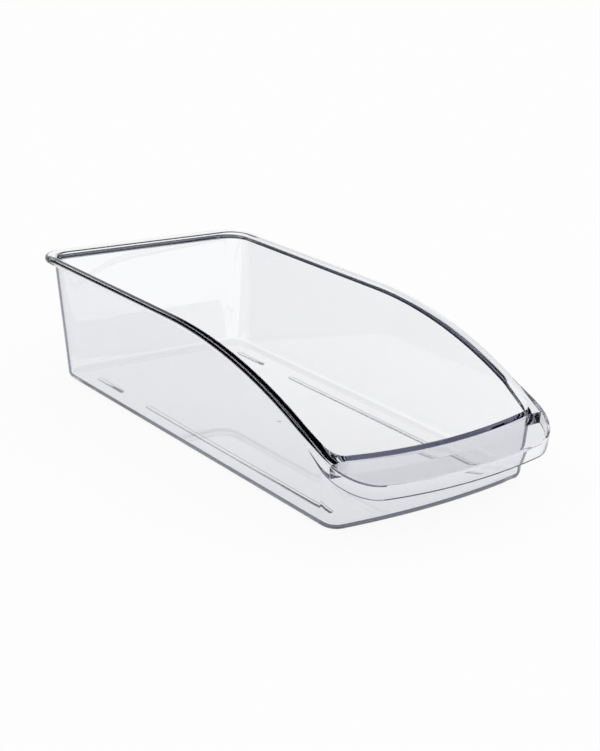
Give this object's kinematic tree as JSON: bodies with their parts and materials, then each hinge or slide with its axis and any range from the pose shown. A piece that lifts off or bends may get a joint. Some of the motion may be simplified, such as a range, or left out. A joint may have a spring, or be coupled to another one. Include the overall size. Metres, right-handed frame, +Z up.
{
  "type": "open fridge bin",
  "caption": "Clear moulded fridge bin with a thick turned-out rim, a side line that drops to a low front, a bowed front wall and a full-width pull handle with a skirt.",
  "frame": {"origin": "middle of the overall footprint, on the surface that the runners stand on", "axes": "+X across the width, +Y to the high rear wall, +Z up; the low front with its pull handle is at -Y"},
  "size_m": [0.1812, 0.3686, 0.09],
  "materials": {
    "clear_plastic": "clear, polished"
  },
  "bodies": {
    "root": {"bin": "clear_plastic"}
  },
  "joints": []
}
